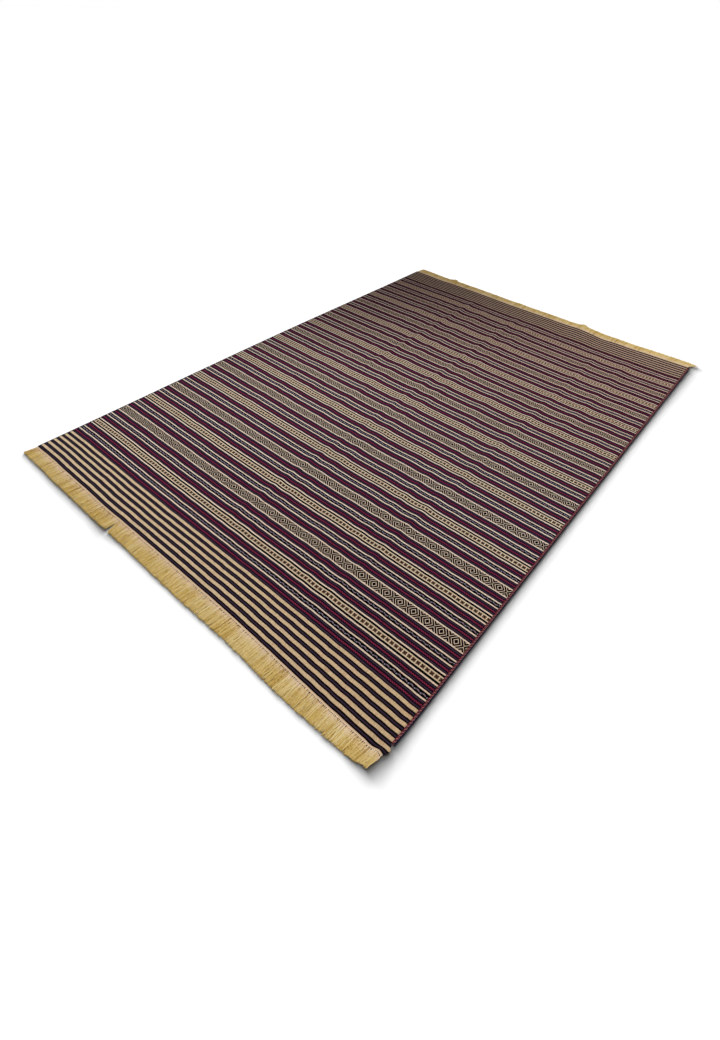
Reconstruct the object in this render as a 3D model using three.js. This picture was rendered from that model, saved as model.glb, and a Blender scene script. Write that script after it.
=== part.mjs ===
// A flat-woven wool kilim lying open on the floor. The near end is at -Y and the far end at +Y,
// the bands of the weave run along X, and the floor is z = 0. All sizes are in millimetres.
import * as THREE from 'three';
import { mergeVertices } from 'three/addons/utils/BufferGeometryUtils.js';

// Woven cloth
const CLOTH_THICKNESS = 3;
const NEAR_END = -1459;
const FAR_END = 1457;
const LEFT_SIDE = -1013;
const LEFT_SIDE_BOW = 12; // the left side swells outwards this much at mid length
const RIGHT_SIDE_NEAR = 1009;
const RIGHT_SIDE_FAR = 997;
const CORNER_REACH = 36; // length of the near right corner that the side cord leaves bare
const CORNER_FLARE = 4; // how much wider the cloth is there

// Side edges
const GAP = 0.3;
const RIGHT_OVERCAST = { width: 6, height: 5 };
const LEFT_OVERCAST = { width: 3.4, height: 4 };
const CORD_DIAMETER = 7;
const CORD_SIDES = 8;
const ROUTE_POINTS = 9; // places that set a side edge's route
const SIDE_STEPS = 22;
const SHORT_OF_END = 4; // an overcast edge starts this far from the cloth's corner

// Fringes
const HEADING_DEPTH = 18; // the woven tape that the locks hang from
const LOCKS_PER_END = 140;
const LOCK_GAP_ROOT = 0.05; // share of a lock's pitch left open on each side, at its root
const LOCK_GAP_TIP = 0.11;
const LOCK_TIP_SWAY = 0.07; // share of the pitch that a tip strays sideways
const LOCK_TIP_THICKNESS = 1.6;
const LOCK_RAGGED = 2.5; // how much longer or shorter a lock is than the fringe around it

// Grid of the cloth's two faces
const EVEN_COLUMNS = 26;
const EVEN_ROWS = 22;
const END_ROWS = [0, 18, CORNER_REACH, 70]; // closer rows beside each end
const CLOSEST_COLUMNS = 9;
const CLOSEST_ROWS = 3;
const MERGE_WITHIN = 1e-4;

// Yarn colours
const CLOTH_COLOR = 0x6b4a4c;
const GOLD = 0xd0aa5e;
const NAVY = 0x1c1a28;
const SALMON = 0xb0605c;

// Old fold lines and soft rises: place along X at mid length, drift towards +X over the whole
// length, height, half width, and the stretch of Y where the cloth is lifted
const FOLDS = [
  { x: -766, drift: 0, rise: 2.0, half: 90, from: -1250, to: -500 },
  { x: -596, drift: -10, rise: 2.2, half: 48, from: -1000, to: 1300 },
  { x: -496, drift: -8, rise: 2.8, half: 36, from: -1200, to: 1330 },
  { x: -390, drift: -10, rise: 5.5, half: 20, from: 20, to: 1380 },
  { x: -296, drift: -6, rise: 2.2, half: 30, from: -500, to: 1300 },
  { x: -50, drift: -12, rise: 4.0, half: 20, from: -1250, to: 1380 },
  { x: 46, drift: -4, rise: 2.2, half: 28, from: -1300, to: 850 },
  { x: 280, drift: 0, rise: 3.0, half: 48, from: -1380, to: -150 },
  { x: 404, drift: 10, rise: 3.2, half: 24, from: -1350, to: 100 },
  { x: 516, drift: 6, rise: 5.5, half: 24, from: -1330, to: -450 },
  { x: 526, drift: 4, rise: 3.0, half: 22, from: -560, to: 1250 },
  { x: 694, drift: 8, rise: 2.6, half: 32, from: 240, to: 1330 },
  { x: 864, drift: 0, rise: 3.0, half: 62, from: 140, to: 1330 },
];
const FOLD_RUN_OUT = 150; // a fold line rises and dies away over this length
const FLAT_BELOW = 0.25; // what would be lifted less than this lies on the floor

// Short bumps that cross the fold lines
const BUMPS = [
  { x: -396, y: 100, rise: 3.5, halfX: 150, halfY: 45 },
  { x: -376, y: 621, rise: 4.0, halfX: 30, halfY: 90 },
  { x: -36, y: 781, rise: 3.0, halfX: 34, halfY: 80 },
  { x: 404, y: 421, rise: 3.5, halfX: 45, halfY: 90 },
];

// The woven ends wander from a straight line by these amounts, away from the middle of the cloth
const NEAR_END_DROP = 17;
const NEAR_END_DROP_FROM = 200;
const NEAR_WANDER = [
  { x: -900, out: -3, half: 90 },
  { x: -440, out: 3, half: 110 },
];
const FAR_WANDER = [
  { x: -800, out: -7, half: 90 },
  { x: -180, out: -6, half: 160 },
  { x: 306, out: 8, half: 55 },
  { x: 484, out: -16, half: 70 },
  { x: 640, out: -8, half: 90 },
  { x: 930, out: 6, half: 120 },
];

// Lean of the lock tips along X, dying away from a place, and the longer and shorter stretches
const NEAR_FRINGE = {
  length: 69,
  parting: { afterLock: 46, opens: 25, reach: 70 }, // a notch where the locks lie apart
  leans: [
    { x: -1013, lean: -9, reach: 120 },
    { x: 1000, lean: -12, reach: 160 },
  ],
  stretches: [
    { x: -880, longer: -3, half: 120 },
    { x: 130, longer: 10, half: 330 },
    { x: 640, longer: 9, half: 200 },
    { x: 995, longer: -8, half: 60 },
  ],
};
const FAR_FRINGE = {
  length: 66,
  leans: [
    { x: -1013, lean: 10, reach: 90 },
    { x: 983, lean: 44, reach: 60 },
  ],
  stretches: [
    { x: -716, longer: 22, half: 16 },
    { x: -160, longer: 6, half: 40 },
    { x: 300, longer: 21, half: 18 },
    { x: 480, longer: 7, half: 60 },
    { x: 1000, longer: -10, half: 50 },
  ],
};

const bell = (distance, half) => Math.exp(-((distance / half) ** 2));
const smooth = (t) => THREE.MathUtils.smoothstep(t, 0, 1);
const lerp = THREE.MathUtils.lerp;

/** A repeatable number from -1 to 1 for the lock with this index. */
function jitter(index, salt) {
  const wave = Math.sin(index * 12.9898 + salt * 78.233) * 43758.5453;
  return 2 * (wave - Math.floor(wave)) - 1;
}

/** How far along the cloth a place lies: 0 at the near end, 1 at the far end. */
const along = (y) => THREE.MathUtils.clamp((y - NEAR_END) / (FAR_END - NEAR_END), 0, 1);

const leftSide = (y) => LEFT_SIDE - LEFT_SIDE_BOW * Math.sin(Math.PI * along(y)) ** 2;
const rightSide = (y) => lerp(RIGHT_SIDE_NEAR, RIGHT_SIDE_FAR, along(y));
const CORNER_END = NEAR_END - NEAR_END_DROP + CORNER_REACH;
const clothLeft = (y) => leftSide(y) + LEFT_OVERCAST.width + GAP;

function clothRight(y) {
  const corner = smooth((CORNER_END - y) / CORNER_REACH);
  return rightSide(y) - RIGHT_OVERCAST.width - CORD_DIAMETER - 2 * GAP + CORNER_FLARE * corner;
}

const wander = (table, x) =>
  table.reduce((sum, row) => sum + row.out * bell(x - row.x, row.half), 0);

function nearEnd(x) {
  const drop = smooth((x - NEAR_END_DROP_FROM) / (RIGHT_SIDE_NEAR - NEAR_END_DROP_FROM));
  return NEAR_END - NEAR_END_DROP * drop - wander(NEAR_WANDER, x);
}

const farEnd = (x) => FAR_END + wander(FAR_WANDER, x);

/** Height of the cloth's underside above the floor. */
function lift(x, y) {
  const folds = FOLDS.reduce((sum, fold) => {
    const across = bell(x - fold.x - fold.drift * (along(y) - 0.5), fold.half);
    const start = smooth((y - fold.from) / FOLD_RUN_OUT);
    const end = smooth((fold.to - y) / FOLD_RUN_OUT);
    return sum + fold.rise * across * start * end;
  }, 0);
  const bumps = BUMPS.reduce(
    (sum, bump) => sum + bump.rise * bell(x - bump.x, bump.halfX) * bell(y - bump.y, bump.halfY),
    0,
  );
  const height = folds + bumps;
  return height < FLAT_BELOW ? 0 : height;
}

/** Places of the grid lines across the cloth, as shares of its width. */
function columnShares() {
  const width = RIGHT_SIDE_NEAR - LEFT_SIDE;
  const xs = Array.from({ length: EVEN_COLUMNS + 1 }, (_, i) => i / EVEN_COLUMNS);
  for (const fold of FOLDS) {
    for (const step of [-1, 0, 1]) xs.push((fold.x + step * fold.half - LEFT_SIDE) / width);
  }
  return thin(xs, CLOSEST_COLUMNS / width);
}

/** Places of the grid lines along the cloth, as shares of its length. */
function rowShares() {
  const length = FAR_END - NEAR_END;
  const ends = END_ROWS.flatMap((distance) => [distance / length, 1 - distance / length]);
  const last = END_ROWS[END_ROWS.length - 1] / length;
  const even = Array.from({ length: EVEN_ROWS - 1 }, (_, i) =>
    lerp(last, 1 - last, (i + 1) / EVEN_ROWS),
  );
  return thin([...ends, ...even], CLOSEST_ROWS / length);
}

/** Sorts shares and drops each one that lies closer than the given step to the one before. */
function thin(shares, step) {
  const sorted = shares.filter((share) => share >= 0 && share <= 1).sort((a, b) => a - b);
  const kept = [sorted[0]];
  for (const share of sorted) {
    if (share - kept[kept.length - 1] > step && (share === 1 || 1 - share > step)) kept.push(share);
  }
  return kept;
}

/** The place on the floor plan for a share of the width and a share of the length. */
function planPoint(u, v) {
  const nominalX = lerp(LEFT_SIDE, RIGHT_SIDE_NEAR, u);
  const y = lerp(nearEnd(nominalX), farEnd(nominalX), v);
  return new THREE.Vector2(lerp(clothLeft(y), clothRight(y), u), y);
}

/** The woven cloth: a sheet of even thickness that follows the folds. */
function clothGeometry(us, vs) {
  const positions = [];
  for (const side of [0, CLOTH_THICKNESS]) {
    for (const v of vs) {
      for (const u of us) {
        const point = planPoint(u, v);
        const rim = u === 0 || u === 1 || v === 0 || v === 1;
        const height = rim ? 0 : lift(point.x, point.y);
        positions.push(point.x, point.y, height + side);
      }
    }
  }
  const face = us.length * vs.length;
  const at = (side, row, column) => side * face + row * us.length + column;
  const index = [];
  const quad = (a, b, c, d) => index.push(a, b, c, a, c, d);
  for (let row = 0; row < vs.length - 1; row++) {
    for (let col = 0; col < us.length - 1; col++) {
      quad(at(1, row, col), at(1, row, col + 1), at(1, row + 1, col + 1), at(1, row + 1, col));
      quad(at(0, row, col), at(0, row + 1, col), at(0, row + 1, col + 1), at(0, row, col + 1));
    }
  }
  const lastRow = vs.length - 1;
  const lastCol = us.length - 1;
  for (let col = 0; col < lastCol; col++) {
    quad(at(0, 0, col), at(0, 0, col + 1), at(1, 0, col + 1), at(1, 0, col));
    quad(at(0, lastRow, col + 1), at(0, lastRow, col), at(1, lastRow, col), at(1, lastRow, col + 1));
  }
  for (let row = 0; row < lastRow; row++) {
    quad(at(0, row + 1, 0), at(0, row, 0), at(1, row, 0), at(1, row + 1, 0));
    quad(at(0, row, lastCol), at(0, row + 1, lastCol), at(1, row + 1, lastCol), at(1, row, lastCol));
  }
  return indexed(positions, index);
}

/** Where the tip lies along X of a lock that starts at x on the heading. */
const tipX = (fringe, x) =>
  fringe.leans.reduce((sum, row) => sum + row.lean * Math.exp(-Math.abs(x - row.x) / row.reach), x);

/** How far a notch pushes aside the tips of the locks past it. */
function pushedAside(fringe, lock, x, notchX) {
  if (!fringe.parting || lock < fringe.parting.afterLock) return 0;
  return fringe.parting.opens * Math.exp(-(x - notchX) / fringe.parting.reach);
}

const lockLength = (fringe, x) =>
  fringe.stretches.reduce((sum, row) => sum + row.longer * bell(x - row.x, row.half), fringe.length);

/** Y of the line through these points at a place x. */
function yOnLine(points, x) {
  const next = Math.max(1, points.findIndex((point) => point.x >= x - MERGE_WITHIN));
  const [before, after] = [points[next - 1], points[next]];
  return lerp(before.y, after.y, (x - before.x) / (after.x - before.x));
}

/**
 * One fringe: the heading tape along an end of the cloth, with its locks lying on the floor.
 * outwards is -1 at the near end and 1 at the far end; edge is the line of the cloth's end.
 */
function fringeGeometry(fringe, outwards, edge, salt) {
  const first = edge[0].x;
  const pitch = (edge[edge.length - 1].x - first) / LOCKS_PER_END;
  const notchX = fringe.parting ? first + fringe.parting.afterLock * pitch : first;
  const plan = [];
  const add = (x, depth, top) => {
    const onEdge = Math.min(Math.max(x, first), edge[edge.length - 1].x);
    plan.push({ x, y: yOnLine(edge, onEdge) + outwards * depth, top });
    return plan.length - 1;
  };

  const polygons = [];
  const seam = [add(first, GAP, CLOTH_THICKNESS)];
  const fringeEdge = [];
  for (let lock = 0; lock < LOCKS_PER_END; lock++) {
    const from = first + lock * pitch;
    const to = from + pitch;
    const sway = LOCK_TIP_SWAY * pitch * jitter(lock, salt + 1);
    const tipFrom = tipX(fringe, from) + pushedAside(fringe, lock, from, notchX) + sway;
    const tipTo = tipX(fringe, to) + pushedAside(fringe, lock, to, notchX) + sway;
    const reach = GAP + lockLength(fringe, (from + to) / 2) + LOCK_RAGGED * jitter(lock, salt);
    const openLeft = lock === 0 ? 0 : LOCK_GAP_ROOT * pitch;
    const openRight = lock === LOCKS_PER_END - 1 ? 0 : LOCK_GAP_ROOT * pitch;
    const rootLeft = add(from + openLeft, GAP + HEADING_DEPTH, CLOTH_THICKNESS);
    const rootRight = add(to - openRight, GAP + HEADING_DEPTH, CLOTH_THICKNESS);
    const tipLeft = add(lerp(tipFrom, tipTo, LOCK_GAP_TIP), reach, LOCK_TIP_THICKNESS);
    const tipRight = add(lerp(tipTo, tipFrom, LOCK_GAP_TIP), reach, LOCK_TIP_THICKNESS);
    const start = seam[seam.length - 1];
    if (lock > 0) polygons.push([fringeEdge[fringeEdge.length - 1], rootLeft, start]);
    const corners = edge.filter((point) => point.x > from + GAP && point.x < to - GAP);
    const seamPart = [...corners.map((point) => point.x), to].map((x) => add(x, GAP, CLOTH_THICKNESS));
    polygons.push([rootLeft, rootRight, ...seamPart.toReversed(), start]);
    polygons.push([tipLeft, tipRight, rootRight, rootLeft]);
    seam.push(...seamPart);
    fringeEdge.push(rootLeft, tipLeft, tipRight, rootRight);
  }
  const rim = [...fringeEdge, ...seam.toReversed()];
  return outwards < 0
    ? plateGeometry(plan, polygons, rim)
    : plateGeometry(plan, polygons.map((polygon) => polygon.toReversed()), rim.toReversed());
}

/** A plate on the floor from polygons that wind anticlockwise, and its rim in the same sense. */
function plateGeometry(plan, polygons, rim) {
  const positions = plan.flatMap((point) => [point.x, point.y, 0, point.x, point.y, point.top]);
  const below = (i) => 2 * i;
  const above = (i) => 2 * i + 1;
  const index = [];
  for (const [a, ...rest] of polygons) {
    for (let i = 0; i + 1 < rest.length; i++) {
      index.push(above(a), above(rest[i]), above(rest[i + 1]));
      index.push(below(a), below(rest[i + 1]), below(rest[i]));
    }
  }
  rim.forEach((a, i) => {
    const b = rim[(i + 1) % rim.length];
    index.push(below(a), below(b), above(b), below(a), above(b), above(a));
  });
  return indexed(positions, index);
}

function indexed(positions, index) {
  const geometry = new THREE.BufferGeometry();
  geometry.setAttribute('position', new THREE.Float32BufferAttribute(positions, 3));
  geometry.setIndex(index);
  geometry.computeVertexNormals();
  return geometry;
}

/** A side edge swept along the cloth: a rounded section resting on the floor by its flat side. */
function sideGeometry(centreX, width, height, from, to) {
  const route = Array.from({ length: ROUTE_POINTS }, (_, i) => {
    const y = lerp(from, to, i / (ROUTE_POINTS - 1));
    return new THREE.Vector3(centreX(y), y, height / 2);
  });
  const flatToFlat = Math.cos(Math.PI / CORD_SIDES);
  const section = Array.from({ length: CORD_SIDES }, (_, i) => {
    const angle = (2 * Math.PI * (i + 0.5)) / CORD_SIDES;
    const radiusX = height / 2 / flatToFlat;
    const radiusY = width / 2 / flatToFlat;
    return new THREE.Vector2(radiusX * Math.cos(angle), radiusY * Math.sin(angle));
  });
  const swept = new THREE.ExtrudeGeometry(new THREE.Shape(section), {
    steps: SIDE_STEPS,
    extrudePath: new THREE.CatmullRomCurve3(route),
  });
  swept.deleteAttribute('uv');
  swept.deleteAttribute('normal');
  const geometry = mergeVertices(swept, MERGE_WITHIN);
  geometry.computeVertexNormals();
  return geometry;
}

function wool(name, geometry, color) {
  const material = new THREE.MeshStandardMaterial({ color, roughness: 0.95, metalness: 0 });
  const mesh = new THREE.Mesh(geometry, material);
  mesh.name = name;
  return mesh;
}

const us = columnShares();
const vs = rowShares();
const nearEdge = us.map((u) => planPoint(u, 0));
const farEdge = us.map((u) => planPoint(u, 1));

const kilim = new THREE.Group();
kilim.add(wool('woven_cloth', clothGeometry(us, vs), CLOTH_COLOR));
kilim.add(wool('near_fringe', fringeGeometry(NEAR_FRINGE, -1, nearEdge, 1), GOLD));
kilim.add(wool('far_fringe', fringeGeometry(FAR_FRINGE, 1, farEdge, 2), GOLD));

const cordInset = RIGHT_OVERCAST.width + GAP + CORD_DIAMETER / 2;
const sideEdges = [
  {
    name: 'right_overcast',
    centreX: (y) => rightSide(y) - RIGHT_OVERCAST.width / 2,
    ...RIGHT_OVERCAST,
    start: CORNER_END + SHORT_OF_END,
    color: NAVY,
  },
  {
    name: 'right_cord',
    centreX: (y) => rightSide(y) - cordInset,
    width: CORD_DIAMETER,
    height: CORD_DIAMETER,
    start: CORNER_END + SHORT_OF_END,
    color: SALMON,
  },
  {
    name: 'left_overcast',
    centreX: (y) => leftSide(y) + LEFT_OVERCAST.width / 2,
    ...LEFT_OVERCAST,
    start: NEAR_END + SHORT_OF_END,
    color: NAVY,
  },
];
for (const { name, centreX, width, height, start, color } of sideEdges) {
  kilim.add(wool(name, sideGeometry(centreX, width, height, start, FAR_END), color));
}

export default kilim;
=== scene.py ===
"""A flat-woven wool kilim, 2 x 3 m with its fringes, lying open on a pale studio floor."""

import math

import bpy
import numpy as np
from mathutils import Matrix


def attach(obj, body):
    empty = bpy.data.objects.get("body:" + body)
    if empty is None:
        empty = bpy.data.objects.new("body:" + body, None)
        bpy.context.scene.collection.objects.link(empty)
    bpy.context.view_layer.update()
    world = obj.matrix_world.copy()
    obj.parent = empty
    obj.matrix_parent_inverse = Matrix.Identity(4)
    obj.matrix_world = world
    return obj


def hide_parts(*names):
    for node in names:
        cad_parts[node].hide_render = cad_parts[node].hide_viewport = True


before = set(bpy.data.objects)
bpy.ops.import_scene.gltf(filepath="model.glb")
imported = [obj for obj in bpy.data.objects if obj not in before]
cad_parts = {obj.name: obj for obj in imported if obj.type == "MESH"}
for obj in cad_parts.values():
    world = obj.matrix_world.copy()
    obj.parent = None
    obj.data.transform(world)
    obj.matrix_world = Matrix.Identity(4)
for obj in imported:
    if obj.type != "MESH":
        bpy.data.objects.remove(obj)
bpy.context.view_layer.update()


# Camera. It stands at eye level off the near right corner and looks down along the cloth,
# held a little out of level, with a wide lens.
CAMERA_PLACE = (1.228, -1.952, 1.510)
CAMERA_HEADING = math.radians(37.70)
CAMERA_BELOW_LEVEL = math.radians(46.49)
CAMERA_ROLL = math.radians(3.61)
CAMERA_LENS = 17.739  # millimetres, for a sensor whose long side is 36 mm

camera_data = bpy.data.cameras.new("camera")
camera_data.sensor_width = 36
camera_data.lens = CAMERA_LENS
camera_data.clip_end = 200
camera = bpy.data.objects.new("camera", camera_data)
bpy.context.collection.objects.link(camera)
camera.matrix_world = (
    Matrix.Translation(CAMERA_PLACE)
    @ Matrix.Rotation(CAMERA_HEADING, 4, "Z")
    @ Matrix.Rotation(math.pi / 2 - CAMERA_BELOW_LEVEL, 4, "X")
    @ Matrix.Rotation(CAMERA_ROLL, 4, "Z")
)
bpy.context.scene.camera = camera


# Woven cloth. One sheet of weft-faced weave, 3 mm thick, that lies on the floor but for its old
# fold lines. Undyed, navy, crimson and slate yarns make its cross bands, which are woven in.
CLOTH_THICKNESS = 0.003
NEAR_END = -1.459
FAR_END = 1.457
LEFT_SIDE = -1.013
LEFT_SIDE_BOW = 0.012
RIGHT_SIDE_NEAR = 1.009
RIGHT_SIDE_FAR = 0.997
CORNER_REACH = 0.036  # the cord and the right overcast end this far above the near corner
CORNER_FLARE = 0.0125  # below them the cloth runs out by this, over the turn's length
CORNER_TUCK = 0.010  # and its last stripe draws in again by this
CORNER_TURN = 0.018
FLARE_START = 0.004
CORNER_DRAW = 0.003  # the side is drawn in by this where the cord begins
CORNER_DRAW_Y = -1.436
CORNER_DRAW_HALF = 0.05
RIGHT_OVERCAST_WIDTH = 0.006
LEFT_OVERCAST_WIDTH = 0.0034
CORD_DIAMETER = 0.007
SIDE_GAP = 0.0003
NEAR_END_DROP = 0.017
NEAR_END_DROP_FROM = 0.2
CLOTH_COLUMNS = 300
CLOTH_ROWS = 154
FOLD_RUN_OUT = 0.15
FLAT_RIM = 0.045  # the folds die away over this distance from the edges

# Old fold lines: place along X at mid length, drift over the length, height, half width, from, to
FOLDS = [
    (-0.766, 0.000, 0.0020, 0.090, -1.25, -0.50),
    (-0.596, -0.010, 0.0030, 0.044, -1.00, 1.30),
    (-0.496, -0.008, 0.0028, 0.036, -1.20, 1.33),
    (-0.398, -0.030, 0.0056, 0.021, 0.02, 1.38),
    (-0.270, -0.006, 0.0034, 0.034, -0.50, 1.30),
    (-0.054, -0.022, 0.0048, 0.022, -1.25, 1.38),
    (0.048, 0.010, 0.0038, 0.034, -1.30, 1.33),
    (0.280, 0.000, 0.0030, 0.048, -1.38, -0.15),
    (0.300, 0.000, 0.0036, 0.045, -0.10, 0.50),
    (0.404, 0.010, 0.0032, 0.024, -1.35, 0.10),
    (0.516, 0.006, 0.0055, 0.024, -1.33, -0.45),
    (0.526, 0.004, 0.0042, 0.024, -0.56, 1.25),
    (0.694, 0.008, 0.0034, 0.032, 0.24, 1.33),
    (0.864, 0.000, 0.0030, 0.062, 0.14, 1.33),
]
# Short bumps across the folds: x, y, height, half width along X, half width along Y
BUMPS = [
    (-0.396, 0.100, 0.0035, 0.150, 0.045),
    (-0.376, 0.621, 0.0040, 0.030, 0.090),
    (-0.036, 0.781, 0.0030, 0.034, 0.080),
    (0.404, 0.421, 0.0035, 0.045, 0.090),
]
# Edges that stand off the floor, in the same terms: the near right corner, the far right side,
# the fringe locks beside the parting, and those left of them
STANDS_OFF = [
    (1.000, -1.500, 0.0040, 0.070, 0.090),
    (1.000, 1.400, 0.0028, 0.060, 0.500),
    (-0.370, -1.530, 0.0030, 0.060, 0.035),
    (-0.700, -1.535, 0.0025, 0.400, 0.035),
]
# Wander of the woven ends away from the middle of the cloth: x, distance, half width
NEAR_WANDER = [(-0.900, -0.003, 0.090), (-0.440, 0.003, 0.110)]
FAR_WANDER = [
    (-0.800, -0.007, 0.090),
    (-0.180, -0.006, 0.160),
    (0.306, 0.008, 0.055),
    (0.484, -0.016, 0.070),
    (0.640, -0.008, 0.090),
    (0.930, 0.006, 0.120),
]
# Places where the bands bow towards the far end: x, y, shift, half width along X and along Y
BAND_BOWS = [
    (0.000, -1.350, 0.0045, 2.500, 0.100),
    (-0.900, -1.390, 0.0025, 0.300, 0.060),
    (-0.220, -1.360, -0.0030, 0.160, 0.060),
    (0.800, -1.280, 0.003, 0.350, 0.080),
    (-0.850, -1.220, 0.0050, 0.320, 0.110),
    (0.989, -1.476, 0.004, 0.011, 0.014),
    (0.960, -1.474, -0.002, 0.016, 0.018),
    (-0.250, -0.920, -0.008, 0.550, 0.200),
    (0.800, -0.900, 0.003, 0.350, 0.220),
    (-0.400, -0.660, -0.0035, 0.600, 0.090),
    (0.050, -0.430, -0.009, 0.550, 0.170),
    (0.550, -0.360, 0.006, 0.500, 0.170),
    (-0.950, -0.330, 0.006, 0.250, 0.200),
    (0.610, -0.060, 0.0080, 0.070, 0.060),
    (-0.500, 0.180, -0.006, 0.350, 0.230),
    (0.900, 0.100, 0.010, 0.300, 0.350),
    (0.985, 0.600, 0.006, 0.040, 0.700),
    (-0.750, 0.850, 0.011, 0.550, 0.280),
    (0.860, 1.140, -0.006, 0.080, 0.090),
    (0.750, 1.230, -0.016, 0.750, 0.260),
    (0.100, 1.340, 0.005, 0.050, 0.070),
    (0.260, 1.340, -0.008, 0.060, 0.070),
    (0.430, 1.340, 0.005, 0.050, 0.070),
]

# The bands, in millimetres from the end of the weave. They repeat about star bands, and the
# first and last of those lie at the same distance from their ends.
WEAVE_LENGTH = 2940.0
FIRST_STAR_BAND = 282.0
BAND_REPEAT = 297.0
FIRST_STAR_BAND_Y = -1.1775
LAST_STAR_BAND_Y = 1.190
LAST_STAR_BAND_TILT = 0.009  # the left side lies this much further away there, the right less
LAST_STAR_BAND = FIRST_STAR_BAND + 8 * BAND_REPEAT


def bell(distance, half):
    return np.exp(-((distance / half) ** 2))


def smooth(share):
    share = np.clip(share, 0, 1)
    return share * share * (3 - 2 * share)


def lerp(start, end, share):
    return start + (end - start) * share


def hills(table, x, y):
    """The sum of soft hills, each given by its place, its height and its two half widths."""
    return sum(
        rise * bell(x - at_x, half_x) * bell(y - at_y, half_y)
        for at_x, at_y, rise, half_x, half_y in table
    )


def along(y):
    return np.clip((y - NEAR_END) / (FAR_END - NEAR_END), 0, 1)


def left_side(y):
    return LEFT_SIDE - LEFT_SIDE_BOW * np.sin(math.pi * along(y)) ** 2


def right_side(y):
    straight = lerp(RIGHT_SIDE_NEAR, RIGHT_SIDE_FAR, along(y))
    return straight - CORNER_DRAW * bell(y - CORNER_DRAW_Y, CORNER_DRAW_HALF)


CORNER_END = NEAR_END - NEAR_END_DROP + CORNER_REACH
RIGHT_TRIM = RIGHT_OVERCAST_WIDTH + CORD_DIAMETER + 2 * SIDE_GAP


def cloth_left(y):
    return left_side(y) + LEFT_OVERCAST_WIDTH + SIDE_GAP


def cloth_right(y):
    flare = CORNER_FLARE * smooth((CORNER_END + FLARE_START - y) / CORNER_TURN)
    tuck = CORNER_TUCK * smooth((CORNER_END - CORNER_TURN - y) / CORNER_TURN)
    return right_side(y) - RIGHT_TRIM + flare - tuck


def wander(table, x):
    return sum(out * bell(x - at, half) for at, out, half in table)


def near_end(x):
    drop = smooth((x - NEAR_END_DROP_FROM) / (RIGHT_SIDE_NEAR - NEAR_END_DROP_FROM))
    return NEAR_END - NEAR_END_DROP * drop - wander(NEAR_WANDER, x)


def far_end(x):
    return FAR_END + wander(FAR_WANDER, x)


def cloth_plan(across, woven):
    """Place on the floor plan for a share of the width and a distance from the near end."""
    x = lerp(LEFT_SIDE, RIGHT_SIDE_NEAR, across)
    last_y = LAST_STAR_BAND_Y + LAST_STAR_BAND_TILT * np.cos(math.pi * smooth(across))
    near = lerp(near_end(x), FIRST_STAR_BAND_Y, woven / FIRST_STAR_BAND)
    middle = lerp(
        FIRST_STAR_BAND_Y, last_y, (woven - FIRST_STAR_BAND) / (LAST_STAR_BAND - FIRST_STAR_BAND)
    )
    far = lerp(last_y, far_end(x), (woven - LAST_STAR_BAND) / (WEAVE_LENGTH - LAST_STAR_BAND))
    y = np.where(woven < FIRST_STAR_BAND, near, np.where(woven < LAST_STAR_BAND, middle, far))
    y = y + hills(BAND_BOWS, x, y)
    return lerp(cloth_left(y), cloth_right(y), across), y


def lift(x, y):
    """Height of the cloth's underside above the floor."""
    folds = sum(
        rise
        * bell(x - at - drift * (along(y) - 0.5), half)
        * smooth((y - start) / FOLD_RUN_OUT)
        * smooth((end - y) / FOLD_RUN_OUT)
        for at, drift, rise, half, start, end in FOLDS
    )
    edge = smooth((x - cloth_left(y)) / FLAT_RIM) * smooth((cloth_right(y) - x) / FLAT_RIM)
    end = smooth((y - near_end(x)) / FLAT_RIM) * smooth((far_end(x) - y) / FLAT_RIM)
    return (folds + hills(BUMPS, x, y)) * edge * end + hills(STANDS_OFF, x, y)


bpy.ops.object.select_all(action="DESELECT")
bpy.ops.mesh.primitive_grid_add(
    x_subdivisions=CLOTH_COLUMNS, y_subdivisions=CLOTH_ROWS, size=1, calc_uvs=True
)
cloth = bpy.context.object
cloth.name = "kilim_weave"
mesh = cloth.data
co = np.empty(len(mesh.vertices) * 3)
mesh.vertices.foreach_get("co", co)
share = co.reshape(-1, 3)[:, :2] + 0.5
x, y = cloth_plan(share[:, 0], share[:, 1] * WEAVE_LENGTH)
z = lift(x, y) + CLOTH_THICKNESS
mesh.vertices.foreach_set("co", np.column_stack([x, y, z]).ravel())
corner = np.empty(len(mesh.loops), dtype=int)
mesh.loops.foreach_get("vertex_index", corner)
WEAVE_WIDTH = 2000.0
metres = share * (WEAVE_WIDTH, WEAVE_LENGTH) * 0.001
mesh.uv_layers[0].name = "weave"
mesh.uv_layers[0].data.foreach_set("uv", metres[corner].ravel())
mesh.update()
bpy.ops.object.shade_smooth()
thickness = cloth.modifiers.new("thickness", "SOLIDIFY")
thickness.thickness = CLOTH_THICKNESS
thickness.offset = -1
bpy.ops.object.modifier_apply(modifier="thickness")


def srgb(red, green, blue):
    """A colour given by its 0 to 255 values, as the shader wants it."""
    linear = [
        value / 12.92 if value <= 0.04045 else ((value + 0.055) / 1.055) ** 2.4
        for value in (red / 255, green / 255, blue / 255)
    ]
    return (*linear, 1.0)


def put(tree, socket, value):
    """Sets a socket to a number or colour, or links it to another socket."""
    if isinstance(value, bpy.types.NodeSocket):
        tree.links.new(value, socket)
    else:
        socket.default_value = value


def calc(tree, operation, *values):
    node = tree.nodes.new("ShaderNodeMath")
    node.operation = operation
    for socket, value in zip(node.inputs, values):
        put(tree, socket, value)
    return node.outputs[0]


def mix(tree, factor, first, second, blend="MIX"):
    node = tree.nodes.new("ShaderNodeMix")
    node.data_type = "RGBA"
    node.blend_type = blend
    put(tree, node.inputs["Factor"], factor)
    put(tree, node.inputs["A"], first)
    put(tree, node.inputs["B"], second)
    return node.outputs["Result"]


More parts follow.
